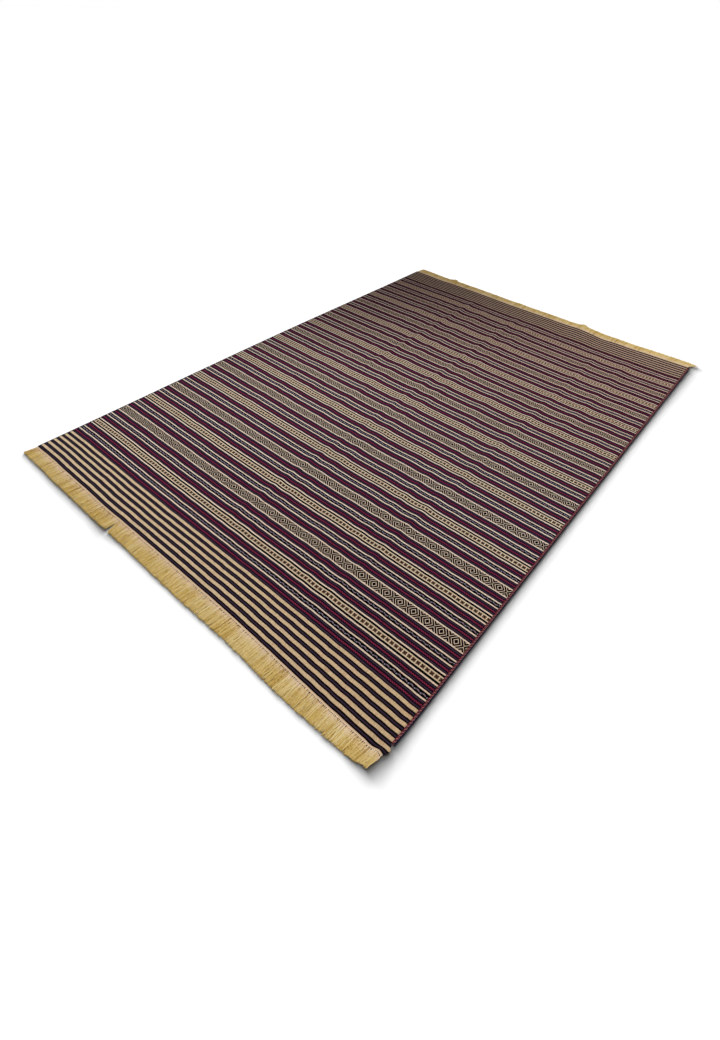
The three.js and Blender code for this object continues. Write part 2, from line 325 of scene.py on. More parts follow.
def vector(tree, x_value, y_value, z_value=0.0):
    node = tree.nodes.new("ShaderNodeCombineXYZ")
    for socket, value in zip(node.inputs, (x_value, y_value, z_value)):
        put(tree, socket, value)
    return node.outputs[0]


def noise(tree, u, v, size, third=0.0, detail=2.0):
    """Soft noise whose patches have the given sizes along the two coordinates."""
    node = tree.nodes.new("ShaderNodeTexNoise")
    node.inputs["Scale"].default_value = 1.0
    node.inputs["Detail"].default_value = detail
    place = vector(tree, calc(tree, "DIVIDE", u, size[0]), calc(tree, "DIVIDE", v, size[1]), third)
    tree.links.new(place, node.inputs["Vector"])
    return node.outputs["Fac"]


def held(tree, value):
    """The value, held between 0 and 1."""
    return calc(tree, "MINIMUM", calc(tree, "MAXIMUM", value, 0.0), 1.0)


def ramp(tree, value, start, end):
    """0 at the start and 1 at the end, held beyond them."""
    span = end - start
    return held(tree, calc(tree, "MULTIPLY_ADD", value, 1 / span, -start / span))


def spot(tree, u, v, middle, half):
    """1 at a place, dying away softly over the half sizes across and along."""
    aside, ahead = (
        calc(tree, "POWER", calc(tree, "DIVIDE", calc(tree, "SUBTRACT", value, at), size), 2.0)
        for value, at, size in zip((u, v), middle, half)
    )
    return calc(tree, "EXPONENT", calc(tree, "MULTIPLY", calc(tree, "ADD", aside, ahead), -1.0))


def times(tree, color, dye):
    """A colour multiplied by another one."""
    return mix(tree, 1.0, color, dye, "MULTIPLY")


def shaded(tree, color, shade):
    """A colour made lighter or darker by a number."""
    return times(tree, color, vector(tree, shade, shade, shade))


def steps(tree, place, span, rows):
    """Colours that change in steps at the given places, from 0 to span."""
    node = tree.nodes.new("ShaderNodeValToRGB")
    stripes = node.color_ramp
    stripes.interpolation = "CONSTANT"
    while len(stripes.elements) < len(rows):
        stripes.elements.new(1.0)
    for element, (start, color) in zip(stripes.elements, rows):
        element.position = start / span
        element.color = color
    put(tree, node.inputs["Fac"], calc(tree, "DIVIDE", place, span))
    return node.outputs["Color"]


def new_group(name, inputs, outputs):
    """An empty shader group with the named sockets, and its inner input and output nodes."""
    group = bpy.data.node_groups.new(name, "ShaderNodeTree")
    for socket_name, kind in inputs:
        group.interface.new_socket(socket_name, in_out="INPUT", socket_type=kind)
    for socket_name, kind in outputs:
        group.interface.new_socket(socket_name, in_out="OUTPUT", socket_type=kind)
    return group, group.nodes.new("NodeGroupInput"), group.nodes.new("NodeGroupOutput")


BEIGE = srgb(205, 183, 151)
PALE_LINE = srgb(224, 207, 190)
IVORY = srgb(212, 196, 171)
NAVY = srgb(5, 4, 8)
BLACK = srgb(4, 3, 5)
SLATE = srgb(56, 44, 64)
MAROON = srgb(58, 24, 48)
CRIMSON = srgb(148, 46, 76)
BROWN = srgb(38, 26, 26)
STAR_GROUND = srgb(110, 88, 70)
DIAMOND_GROUND = srgb(208, 190, 172)
PALE_BLUE = srgb(156, 162, 184)
DUSK = srgb(106, 102, 122)
LILAC = srgb(140, 124, 140)
PINKISH = srgb(228, 168, 134)
YELLOWISH = srgb(216, 196, 112)
NEAR_RIGHT_SHADE = srgb(238, 228, 218)
FAR_END_TINT = srgb(248, 238, 243)
FAR_BORDER_TINT = srgb(228, 238, 255)

HALF_REPEAT = BAND_REPEAT / 2
# Half a repeat, from the middle of a star band to the middle of a diamond band
REPEAT_STRIPES = [
    (0.0, IVORY),
    (11.4, BLACK),
    (20.0, PALE_LINE),
    (25.6, NAVY),
    (28.8, SLATE),
    (33.6, NAVY),
    (37.2, MAROON),
    (45.8, NAVY),
    (49.2, SLATE),
    (54.0, NAVY),
    (58.4, PALE_LINE),
    (63.8, BLACK),
    (82.8, PALE_LINE),
    (88.2, NAVY),
    (92.2, SLATE),
    (97.4, NAVY),
    (101.2, MAROON),
    (110.0, NAVY),
    (113.4, SLATE),
    (118.4, NAVY),
    (122.8, PALE_LINE),
    (128.4, DIAMOND_GROUND),
]
BORDER_DEPTH = 159.0
BORDER_PITCH = 26.5
BORDER_STRIPES = [(0.0, NAVY), (4.8, SLATE), (9.4, NAVY), (14.7, BEIGE)]
STAR_PITCH = 18.0
STAR_HALF_WIDTH = 7.3
STAR_HALF_HEIGHT = 7.0
STAR_ARM = 2.0
STAR_HEART = 3.2
DIAMOND_PITCH = 58.8
DIAMOND_PHASE = 18.0
DIAMOND_SLOPE = 0.80
DIAMOND_HALF_BAND = 20.4
DIAMOND_REACH = 60.0
# Rings around the middle of a diamond: where each starts, and whether it is dark
DIAMOND_RINGS = [
    (0.0, 1),
    (7.6, 0),
    (11.0, 1),
    (18.8, 0),
    (22.0, 1),
    (29.8, 0),
    (32.8, 1),
    (40.8, 0),
    (43.8, 1),
]
CHAIN_PLACE = 74.0
CHAIN_PITCH = 24.0
CHAIN_SWING = 1.8
CHAIN_HALF = 1.9
CHAIN_PHASE = 3.0
CHAIN_COLORS = [(0.0, PALE_BLUE), (3.0, DUSK), (10.0, LILAC), (20.5, BLACK)]
BRAID_PLACES = (41.5, 105.6)
BRAID_HALF = 1.3
BRAID_PITCH = 8.6
BRAID_SWING = 2.2
BAND_SWAYS = [((26.0, 40.0), 1.4), ((62.0, 280.0), 4.6)]  # size of the patches, sway in them
WARP_PITCH = 2.9
WEFT_PITCH = 0.95


def within(tree, place, pitch):
    """The place within its own repeat, from 0 to a pitch."""
    share = calc(tree, "FRACT", calc(tree, "DIVIDE", place, pitch))
    return calc(tree, "MULTIPLY", share, pitch)


def wave(tree, place, pitch, middle=0.0):
    """The signed distance from the nearest of the places that lie a pitch apart."""
    turns = calc(tree, "DIVIDE", calc(tree, "SUBTRACT", place, middle), pitch)
    share = calc(tree, "FRACT", calc(tree, "ADD", turns, 0.5))
    return calc(tree, "MULTIPLY", calc(tree, "SUBTRACT", share, 0.5), pitch)


def below(tree, value, limit):
    return calc(tree, "LESS_THAN", value, limit)


def both(tree, *masks):
    result = masks[0]
    for mask in masks[1:]:
        result = calc(tree, "MULTIPLY", result, mask)
    return result


def either(tree, *masks):
    result = masks[0]
    for mask in masks[1:]:
        result = calc(tree, "MAXIMUM", result, mask)
    return result


bands, group_in, group_out = new_group(
    "woven bands",
    [("Across", "NodeSocketFloat"), ("Along", "NodeSocketFloat")],
    [("Color", "NodeSocketColor")],
)
u, v = group_in.outputs["Across"], group_in.outputs["Along"]
for size, sway in BAND_SWAYS:
    swayed = calc(bands, "MULTIPLY_ADD", noise(bands, u, v, size), sway, -sway / 2)
    v = calc(bands, "ADD", v, swayed)
from_end = calc(bands, "MINIMUM", v, calc(bands, "SUBTRACT", WEAVE_LENGTH, v))
from_star = wave(bands, v, BAND_REPEAT, FIRST_STAR_BAND)
fold = calc(bands, "ABSOLUTE", from_star)
color = steps(bands, fold, HALF_REPEAT, REPEAT_STRIPES)

star_x = calc(bands, "ABSOLUTE", wave(bands, u, STAR_PITCH))
star_y = fold
arms = below(bands, calc(bands, "ABSOLUTE", calc(bands, "SUBTRACT", star_x, star_y)), STAR_ARM)
heart = below(bands, calc(bands, "ADD", star_x, star_y), STAR_HEART)
block = both(
    bands, below(bands, star_x, STAR_HALF_WIDTH), below(bands, star_y, STAR_HALF_HEIGHT)
)
color = mix(bands, block, color, STAR_GROUND)
color = mix(bands, both(bands, either(bands, arms, heart), block), color, BROWN)

diamond_x = calc(bands, "ABSOLUTE", wave(bands, u, DIAMOND_PITCH, DIAMOND_PHASE))
diamond_y = calc(bands, "SUBTRACT", HALF_REPEAT, fold)
reach = calc(bands, "ADD", diamond_x, calc(bands, "MULTIPLY", diamond_y, DIAMOND_SLOPE))
ring_rows = [(start, (dark, dark, dark, 1)) for start, dark in DIAMOND_RINGS]
rings = steps(bands, reach, DIAMOND_REACH, ring_rows)
in_diamonds = both(bands, rings, below(bands, diamond_y, DIAMOND_HALF_BAND))
color = mix(bands, in_diamonds, color, BLACK)

chain_y = calc(bands, "SUBTRACT", fold, CHAIN_PLACE)
chain_u = calc(bands, "SUBTRACT", u, CHAIN_PHASE)
turn = calc(bands, "MULTIPLY", chain_u, 2 * math.pi / CHAIN_PITCH)
swing = calc(bands, "MULTIPLY", calc(bands, "COSINE", turn), CHAIN_SWING)
off = calc(bands, "ABSOLUTE", calc(bands, "SUBTRACT", chain_y, swing))
chain_place = within(bands, chain_u, CHAIN_PITCH)
chain_color = steps(bands, chain_place, CHAIN_PITCH, CHAIN_COLORS)
color = mix(bands, below(bands, off, CHAIN_HALF), color, chain_color)

zigzag = calc(bands, "ABSOLUTE", wave(bands, u, BRAID_PITCH))
zigzag = calc(bands, "MULTIPLY_ADD", zigzag, 4 * BRAID_SWING / BRAID_PITCH, -BRAID_SWING)
for place in BRAID_PLACES:
    off = calc(bands, "SUBTRACT", calc(bands, "SUBTRACT", fold, place), zigzag)
    braid = below(bands, calc(bands, "ABSOLUTE", off), BRAID_HALF)
    color = mix(bands, braid, color, CRIMSON)

border = steps(bands, within(bands, from_end, BORDER_PITCH), BORDER_PITCH, BORDER_STRIPES)
color = mix(bands, below(bands, from_end, BORDER_DEPTH), color, border)
bands.links.new(color, group_out.inputs["Color"])

# The yarn of the weave: ribs over the warps, crossed by fine rows of weft, with painted shade in
# the grooves. The dye of pale yarn strays towards pink and yellow from place to place. Painted
# shade darkens the near right and painted light brightens the middle of the left side. Towards
# the far end the colour turns pinker and stronger in contrast.
# A GAIN is a factor and what is added to it, here and in the other materials. The other pairs
# are sizes or places across and along the weave, and those of a noise size its patches.
RIB_DRIFT = (30.0, 60.0)
RIB_GAIN = (0.7, 0.3)
ROW_GAIN = (0.4, 0.6)
GROOVE_SHADE_GAIN = (0.46, 0.76)
STREAK = (2.6, 16.0)
STREAK_GAIN = (1.2, 0.39)
ROW_STREAK = (40.0, 1.6)
ROW_STREAK_GAIN = (0.36, 0.82)
DYE_PATCH = (26.0, 9.0)
DYE_PATCH_SALT = 3.0
# Drifts of the pale dye: the gain on the noise, the largest share, the dye
DYE_DRIFTS = [((3.4, -1.75), 0.5, PINKISH), ((-3.4, 1.65), 0.4, YELLOWISH)]
# The near ramp places the painted shade at the near right; the far one places the far tint.
NEAR_SHADE_RAMP = (1000.0, 200.0)  # both tints: where they begin and where they are full
FAR_TINT = (1400.0, 2900.0)
FAR_CONTRAST = 1.7
FAR_CONTRAST_SHARE = 0.35
# A soft spot of painted light in the middle of the left side: its place, its half sizes and how
# much lighter it makes the colour.
LIT_SPOT_PLACE = (200.0, 1250.0)
LIT_SPOT_HALF = (760.0, 900.0)
LIT_SPOT_LIGHT = 0.17
FAR_LIGHTNESS_GAIN = (0.08, 1.03)

weft, group_in, group_out = new_group(
    "weft rows",
    [
        ("Color", "NodeSocketColor"),
        ("Across", "NodeSocketFloat"),
        ("Along", "NodeSocketFloat"),
        ("Warp Pitch", "NodeSocketFloat"),
        ("Weft Pitch", "NodeSocketFloat"),
    ],
    [("Color", "NodeSocketColor"), ("Height", "NodeSocketFloat")],
)
u, v = group_in.outputs["Across"], group_in.outputs["Along"]
drift = noise(weft, u, v, RIB_DRIFT)
ribs = calc(weft, "ADD", calc(weft, "DIVIDE", u, group_in.outputs["Warp Pitch"]), drift)
rib = calc(weft, "COSINE", calc(weft, "MULTIPLY", ribs, 2 * math.pi))
rib = calc(weft, "MULTIPLY_ADD", rib, 0.5, 0.5)
row = calc(weft, "FRACT", calc(weft, "DIVIDE", v, group_in.outputs["Weft Pitch"]))
row = calc(weft, "SINE", calc(weft, "MULTIPLY", row, math.pi))
rib_height = calc(weft, "MULTIPLY_ADD", rib, *RIB_GAIN)
height = calc(weft, "MULTIPLY", rib_height, calc(weft, "MULTIPLY_ADD", row, *ROW_GAIN))
weft.links.new(height, group_out.inputs["Height"])

# Painted shade: the colour darkens in the grooves between the ribs and between the rows.
shade = calc(weft, "MULTIPLY_ADD", height, *GROOVE_SHADE_GAIN)
for size, gain in ((STREAK, STREAK_GAIN), (ROW_STREAK, ROW_STREAK_GAIN)):
    streak = noise(weft, u, v, size, detail=3.0)
    shade = calc(weft, "MULTIPLY", shade, calc(weft, "MULTIPLY_ADD", streak, *gain))

dye_and_shade = group_in.outputs["Color"]
patch = noise(weft, u, v, DYE_PATCH, DYE_PATCH_SALT, 3.0)
for gain, most, dye in DYE_DRIFTS:
    patchy = held(weft, calc(weft, "MULTIPLY_ADD", patch, *gain))
    dye_and_shade = mix(weft, calc(weft, "MULTIPLY", patchy, most), dye_and_shade, times(weft, dye_and_shade, dye))
# Painted shade: the colour is darkened towards the near right corner.
to_right = calc(weft, "POWER", calc(weft, "DIVIDE", u, WEAVE_WIDTH), 2.0)
to_near = ramp(weft, v, *NEAR_SHADE_RAMP)
dye_and_shade = mix(weft, both(weft, to_right, to_near), dye_and_shade, times(weft, dye_and_shade, NEAR_RIGHT_SHADE))
# Towards the far end the colour is tinted pinker and given more contrast, and the far border is
# tinted bluer.
to_far = ramp(weft, v, *FAR_TINT)
dye_and_shade = mix(weft, to_far, dye_and_shade, times(weft, dye_and_shade, FAR_END_TINT))
contrast = shaded(weft, times(weft, dye_and_shade, dye_and_shade), FAR_CONTRAST)
dye_and_shade = mix(weft, calc(weft, "MULTIPLY", to_far, FAR_CONTRAST_SHARE), dye_and_shade, contrast)
at_far_border = calc(weft, "GREATER_THAN", v, WEAVE_LENGTH - BORDER_DEPTH)
dye_and_shade = mix(weft, at_far_border, dye_and_shade, times(weft, dye_and_shade, FAR_BORDER_TINT))

lightness = calc(weft, "MULTIPLY_ADD", to_far, *FAR_LIGHTNESS_GAIN)
# Painted light: the colour is made lighter in a soft spot in the middle of the left side.
lit_spot = spot(weft, u, v, LIT_SPOT_PLACE, LIT_SPOT_HALF)
lit_spot_and_lightness = calc(weft, "MULTIPLY_ADD", lit_spot, LIT_SPOT_LIGHT, lightness)
weft_color = shaded(weft, dye_and_shade, calc(weft, "MULTIPLY", shade, lit_spot_and_lightness))
weft.links.new(weft_color, group_out.inputs["Color"])


def group_node(tree, group, **values):
    node = tree.nodes.new("ShaderNodeGroup")
    node.node_tree = group
    for socket_name, value in values.items():
        put(tree, node.inputs[socket_name.replace("_", " ")], value)
    return node


def new_material(name, roughness, sheen):
    """A wool finish with its shader's own values set, and its node tree and shader."""
    material = bpy.data.materials.new(name)
    material.use_nodes = True
    shader = material.node_tree.nodes["Principled BSDF"]
    shader.inputs["Roughness"].default_value = roughness
    shader.inputs["Sheen Weight"].default_value = sheen
    shader.inputs["Sheen Roughness"].default_value = 0.5
    shader.inputs["Specular IOR Level"].default_value = 0.04
    return material, material.node_tree, shader


def finish_wool(tree, shader, color, height, distance, strength=0.8):
    """Gives a wool finish its colour, and its relief as a bump."""
    bump = tree.nodes.new("ShaderNodeBump")
    bump.inputs["Distance"].default_value = distance
    bump.inputs["Strength"].default_value = strength
    tree.links.new(color, shader.inputs["Base Color"])
    tree.links.new(height, bump.inputs["Height"])
    tree.links.new(bump.outputs["Normal"], shader.inputs["Normal"])


def uv_millimetres(tree, layer):
    """The two coordinates of a UV map that is laid out in metres, in millimetres."""
    node = tree.nodes.new("ShaderNodeUVMap")
    node.uv_map = layer
    split = tree.nodes.new("ShaderNodeSeparateXYZ")
    tree.links.new(node.outputs[0], split.inputs[0])
    return [calc(tree, "MULTIPLY", split.outputs[axis], 1000.0) for axis in (0, 1)]


woven, tree, shader = new_material("woven wool", 0.95, 0.01)
u, v = uv_millimetres(tree, "weave")
colors = group_node(tree, bands, Across=u, Along=v)
yarn = group_node(
    tree,
    weft,
    Color=colors.outputs["Color"],
    Across=u,
    Along=v,
    Warp_Pitch=WARP_PITCH,
    Weft_Pitch=WEFT_PITCH,
)
finish_wool(tree, shader, yarn.outputs["Color"], yarn.outputs["Height"], 0.0005, 0.7)
cloth.data.materials.append(woven)
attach(cloth, "root")
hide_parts("woven_cloth")


# Near fringe. The warp ends are plied into loose gold strands that lie on the floor side by
# side, over a layer of their neighbours whose lower tone is painted shade. They grow out of a
# narrow woven heading.
STRANDS_PER_END = 365
STRAY_STRANDS = 380
STRAND_START = 0.0052
STRAND_AROUND = 0.011
STRAND_TWIST = 0.0095
STRAND_STOPS = np.array([0, 0.03, 0.07, 0.13, 0.24, 0.38, 0.53, 0.68, 0.82, 0.91, 0.97, 1.0])
# Layers of strands: how much further out they start, half width, half height, height above the
# floor, how far the tips stray sideways, sides of the tube, how much shorter they are
PLIED_LAYER = (0.0, 0.0023, 0.00125, 0.0014, 0.0010, 7, 0.0)
UNDER_LAYER = (0.006, 0.0021, 0.0009, 0.0002, 0.0012, 5, 0.001)
STRAY_LAYER = (0.0, 0.0009, 0.0005, 0.0026, 0.0070, 5, 0.003)
STRAND_SIZES = (0.86, 1.12)  # the thinnest and the thickest
ROOT_WIDTH = 0.62  # shares of the full width at the root, and of the full height at the tip
TIP_HEIGHT = 0.80
ROOT_END = 0.13
TAPER = 0.4
TAPER_FROM = 0.88
TAPER_LENGTH = 0.12
# Shares of the width that the layers span, and their tones: middle and spread, or lowest and
# highest for the stray strands. Strands of one lock share a part of their tone.
PLIED_SPAN = (0.0008, 0.9992)
UNDER_SPAN = (0.001, 0.999)
STRAY_SPAN = (0.002, 0.998)
PLIED_TONE = (0.65, 0.19)
UNDER_SHADE_TONE = (0.45, 0.10)
STRAY_TONE = (0.5, 1.0)
LOCK_TONE = 0.30
LOCK_STRANDS = 6
STRAND_JITTER = 0.0001
STRAND_RAGGED = 0.0017
STRAND_CURL = 0.0012
CURL_BENDS = (1.0, 5.0)
STRAND_ARCH = 0.0016
LEAN_POWER = 1.35
CLUMPS = 200
CLUMP_WIDTHS = (0.012, 0.055)
CLUMPS_FROM = 1.1  # this far left of the middle
CLUMP_PULLS = (-0.02, 0.09)
CLUMP_LEAN = 0.0016
HEADING_DEPTH = 0.0115
HEADING_PALE = 0.0060
HEADING_TOP = 0.0022
HEADING_RIB = 0.0006
HEADING_STEP = 0.0014  # the outer rim lies this much lower, under the strands
HEADING_STEP_FROM = 0.0055
HEADING_STEP_WIDTH = 0.004
HEADING_OVERLAP = 0.0004
NEAR_LAST = 0.9985  # the fringe stops just short of the near right corner
NEAR_LENGTH = 0.069
NEAR_LEANS = [(-1.013, -0.009, 0.120), (1.000, -0.012, 0.160), (0.350, -0.006, 0.450)]
NEAR_STRETCHES = [
    (-0.880, -0.003, 0.120),
    (-1.010, -0.007, 0.060),
    (0.130, 0.010, 0.330),
    (0.640, 0.009, 0.200),
    (0.995, -0.008, 0.060),
]
PARTING_X = -0.344
PARTING_OPENS = 0.022
PARTING_REACH = 0.070


def tubes(paths, half_wide, half_high, sides):
    """Closed tubes around paths of shape (tubes, rings, 3): vertices, faces and their UVs."""
    count, rings, _ = paths.shape
    ahead = np.gradient(paths, axis=1)
    ahead /= np.linalg.norm(ahead, axis=2, keepdims=True)
    across = np.cross(ahead, (0, 0, 1))
    across /= np.linalg.norm(across, axis=2, keepdims=True)
    up = np.cross(across, ahead)
    angle = 2 * math.pi * np.arange(sides) / sides
    shape = (count, rings, sides)
    wide = np.broadcast_to(half_wide, shape)[..., None] * np.cos(angle)[:, None]
    high = np.broadcast_to(half_high, shape)[..., None] * np.sin(angle)[:, None]
    vertices = paths[:, :, None] + wide * across[:, :, None] + high * up[:, :, None]
    index = np.arange(count * rings * sides).reshape(shape)
    turned = np.roll(index, -1, axis=2)
    quads = np.stack([index[:, :-1], index[:, 1:], turned[:, 1:], turned[:, :-1]], axis=-1)
    step = np.linalg.norm(np.diff(paths, axis=1), axis=2)
    along_path = np.concatenate([np.zeros((count, 1)), np.cumsum(step, axis=1)], axis=1)
    u = np.broadcast_to(along_path[:, :, None], shape)
    v = np.broadcast_to(np.arange(sides) / sides * STRAND_AROUND, shape)
    next_v = v + STRAND_AROUND / sides
    corners_u = np.stack([u[:, :-1], u[:, 1:], u[:, 1:], u[:, :-1]], axis=-1)
    corners_v = np.stack([v[:, :-1], v[:, 1:], next_v[:, 1:], next_v[:, :-1]], axis=-1)
    ends = np.concatenate([index[:, 0], index[:, -1, ::-1]])
    ends_u = np.concatenate([u[:, 0], u[:, -1]])
    uvs = np.stack(
        [
            np.concatenate([corners_u.ravel(), ends_u.ravel()]),
            np.concatenate([corners_v.ravel(), np.zeros(ends_u.size)]),
        ],
        axis=-1,
    )
    return vertices.reshape(-1, 3), quads.reshape(-1, 4).tolist() + ends.tolist(), uvs


def tube_piece(name, layers):
    """One joined mesh from layers of tubes, each with a tone per tube, and its own UV map."""
    vertices, faces, quad_uvs, tones = [], [], [], []
    first = 0
    for (points, polygons, uvs), tone in layers:
        vertices.append(points)
        faces += [[first + i for i in polygon] for polygon in polygons]
        quad_uvs.append(uvs)
        tones.append(np.repeat(tone, len(points) // len(tone)))
        first += len(points)
    mesh = bpy.data.meshes.new(name)
    mesh.from_pydata(np.concatenate(vertices).tolist(), [], faces)
    layer = mesh.uv_layers.new(name="yarn")
    layer.data.foreach_set("uv", np.concatenate(quad_uvs).ravel())
    tone_layer = mesh.attributes.new("tone", "FLOAT", "POINT")
    tone_layer.data.foreach_set("value", np.concatenate(tones))
    mesh.shade_smooth()
    piece = bpy.data.objects.new(name, mesh)
    bpy.context.collection.objects.link(piece)
    return piece


def gathered(x, random):
    """How far each place is drawn towards the middle of its own clump of a few strands."""
    borders = np.cumsum(random.uniform(*CLUMP_WIDTHS, CLUMPS)) - CLUMPS_FROM
    clump = np.searchsorted(borders, x)
    middle = (borders[clump] + borders[clump - 1]) / 2
    pull = random.uniform(*CLUMP_PULLS, CLUMPS + 1)[clump]
    lean = random.normal(0, CLUMP_LEAN, CLUMPS + 1)[clump]
    return (middle - x) * pull + lean


def strand_paths(outwards, share, start, length, leans, stretches, parting, stray, random):
    """Centre lines that start at the heading at these shares of the width, and lie on the floor."""
    x, y = cloth_plan(share, np.full_like(share, 0 if outwards < 0 else WEAVE_LENGTH))
    reach = length + wander(stretches, x) + random.normal(0, STRAND_RAGGED, len(x))
    tip = sum(lean * np.exp(-np.abs(x - at) / spread) for at, lean, spread in leans)
    tip = tip + gathered(x, random) + random.normal(0, stray, len(x))
    if parting:
        tip = tip + PARTING_OPENS * np.exp(-(x - PARTING_X) / PARTING_REACH) * (x > PARTING_X)
    t = STRAND_STOPS
    curl = random.normal(0, STRAND_CURL, len(x))[:, None] * np.sin(
        math.pi * (t * random.uniform(*CURL_BENDS, len(x))[:, None])
    )
    side = tip[:, None] * t**LEAN_POWER + curl
    out = start + (reach - start)[:, None] * t
    arch = STRAND_ARCH * random.uniform(0, 1, len(x))[:, None] ** 4 * np.sin(math.pi * t)
    x, y = x[:, None] + side, y[:, None] + outwards * out
    return x, y, arch + hills(STANDS_OFF, x, y)


def fringe_layers(outwards, length, leans, stretches, parting, seed):
    """The plied strands, the layer under them and the stray ones, each with its tones."""
    random = np.random.default_rng(seed)
    t = STRAND_STOPS
    place = (np.arange(STRANDS_PER_END) + 0.5) / STRANDS_PER_END
    place = place + random.normal(0, STRAND_JITTER, STRANDS_PER_END)
    last = NEAR_LAST if outwards < 0 else 1.0
    taper = 1 - TAPER * smooth((t - TAPER_FROM) / TAPER_LENGTH)

    def layer(values, share, tone):
        further, half_wide, half_high, base, stray, sides, shorter = values
        x, y, arch = strand_paths(
            outwards,
            share * last,
            STRAND_START + further,
            length - shorter,
            leans,
            stretches,
            parting,
            stray,
            random,
        )
        size = random.uniform(*STRAND_SIZES, len(share))[:, None]
        wide = half_wide * size * lerp(ROOT_WIDTH, 1.0, smooth(t / ROOT_END)) * taper
        high = half_high * size * lerp(1.0, TIP_HEIGHT, t) * taper
        paths = np.stack([x, y, high + arch + base], axis=-1)
        return tubes(paths, wide[..., None], high[..., None], sides), tone

    one_lock = np.ones(LOCK_STRANDS) / LOCK_STRANDS
    lock_tone = np.convolve(random.normal(0, LOCK_TONE, STRANDS_PER_END), one_lock, "same")
    tone = np.clip(random.normal(*PLIED_TONE, STRANDS_PER_END) + lock_tone, 0.05, 1)
    between = np.linspace(*UNDER_SPAN, 2 * STRANDS_PER_END - 2)
    # The under layer has a lower tone, as painted shade beneath the plied strands.
    shaded_under_tone = np.clip(random.normal(*UNDER_SHADE_TONE, len(between)), 0.1, 0.7)
    across = random.uniform(*STRAY_SPAN, STRAY_STRANDS)
    paler = random.uniform(*STRAY_TONE, STRAY_STRANDS)
    return [
        layer(PLIED_LAYER, np.clip(place, *PLIED_SPAN), tone),
        layer(UNDER_LAYER, between, shaded_under_tone),
        layer(STRAY_LAYER, across, paler),
    ]


def heading_piece(name, outwards):
    """A ribbed strip from the end of the weave, whose outer rim passes under the strands."""
    columns, rows = STRANDS_PER_END * 4, 6
    last = NEAR_LAST if outwards < 0 else 1.0
    share, out = np.meshgrid(np.linspace(0, last, columns + 1), np.linspace(0, 1, rows + 1))
    x, y = cloth_plan(share, np.full_like(share, 0 if outwards < 0 else WEAVE_LENGTH))
    depth = out * HEADING_DEPTH
    ribs = np.abs(np.sin(math.pi * share * STRANDS_PER_END))
    step = HEADING_STEP * smooth((depth - HEADING_STEP_FROM) / HEADING_STEP_WIDTH)
    top = HEADING_TOP + HEADING_RIB * ribs - step + hills(STANDS_OFF, x, y)
    outer_y = y + outwards * (depth - HEADING_OVERLAP * (out == 0))
    upper = np.stack([x, outer_y, top], axis=-1).reshape(-1, 3)
    lower = upper * (1, 1, 0)
    index = np.arange(upper.shape[0]).reshape(rows + 1, columns + 1)
    quads = np.stack(
        [index[:-1, :-1], index[:-1, 1:], index[1:, 1:], index[1:, :-1]], axis=-1
    ).reshape(-1, 4)
    if outwards < 0:
        quads = quads[:, ::-1]
    rim = np.concatenate([index[0, :-1], index[:-1, -1], index[-1, :0:-1], index[:0:-1, 0]])
    count = len(upper)
    following = np.roll(rim, -1)
    sides = np.stack([following, rim, rim + count, following + count], axis=-1)
    if outwards < 0:
        sides = sides[:, ::-1]
    faces = quads.tolist() + (quads[:, ::-1] + count).tolist() + sides.tolist()
    mesh = bpy.data.meshes.new(name)
    mesh.from_pydata(np.concatenate([upper, lower]).tolist(), [], faces)
    layer = mesh.uv_layers.new(name="yarn")
    flat = np.stack([share * WEAVE_WIDTH * 0.001, depth], axis=-1).reshape(-1, 2)
    corner = np.empty(len(mesh.loops), dtype=int)
    mesh.loops.foreach_get("vertex_index", corner)
    layer.data.foreach_set("uv", flat[corner % count].ravel())
    mesh.shade_smooth()
    piece = bpy.data.objects.new(name, mesh)
    bpy.context.collection.objects.link(piece)
    return piece


def tone_of(tree):
    node = tree.nodes.new("ShaderNodeAttribute")
    node.attribute_name = "tone"
    return node.outputs["Fac"]


def ply_shade(tree, u, v, pitch):
    """0 to 1 across each ply of a twisted yarn whose UV map gives its length and its girth."""
    around = calc(tree, "DIVIDE", v, STRAND_AROUND * 1000)
    turn = calc(tree, "ADD", calc(tree, "DIVIDE", u, pitch), around)
    wave_out = calc(tree, "SINE", calc(tree, "MULTIPLY", turn, 4 * math.pi))
    return calc(tree, "MULTIPLY_ADD", wave_out, 0.5, 0.5)


GOLD_DARK = srgb(160, 118, 50)
GOLD = srgb(220, 188, 112)
GOLD_PALE = srgb(242, 222, 166)
ROOT_PALE = srgb(238, 210, 178)
TIP_GOLD = srgb(206, 168, 84)
GOLD_BLOTCH = (5.0, 1.0)
GOLD_BLOTCH_GAIN = (1.5, -0.75)
TONE_SPREAD = 900.0  # keeps the blotches of one strand apart from those of the next
TIP_FROM_ROOT = 60.0
TIP_SHARE = 0.35
ROOT_PALE_LENGTH = 30.0
ROOT_PALE_SHARE = 1.3
GOLD_PLY_GAIN = (0.28, 0.82)
GOLD_FIBRE = (6.0, 0.5)
GOLD_FIBRE_GAIN = (0.5, 0.75)
plied, tree, shader = new_material("plied gold yarn", 0.9, 0.05)
u, v = uv_millimetres(tree, "yarn")
tone = tone_of(tree)
blotch = noise(tree, u, calc(tree, "MULTIPLY", tone, TONE_SPREAD), GOLD_BLOTCH)
uneven = calc(tree, "ADD", tone, calc(tree, "MULTIPLY_ADD", blotch, *GOLD_BLOTCH_GAIN))
color = mix(tree, calc(tree, "MULTIPLY", uneven, 2.0), GOLD_DARK, GOLD)
color = mix(tree, calc(tree, "MULTIPLY_ADD", uneven, 2.0, -1.0), color, GOLD_PALE)
to_tip = calc(tree, "MINIMUM", calc(tree, "DIVIDE", u, TIP_FROM_ROOT), 1.0)
color = mix(tree, calc(tree, "MULTIPLY", to_tip, TIP_SHARE), color, TIP_GOLD)
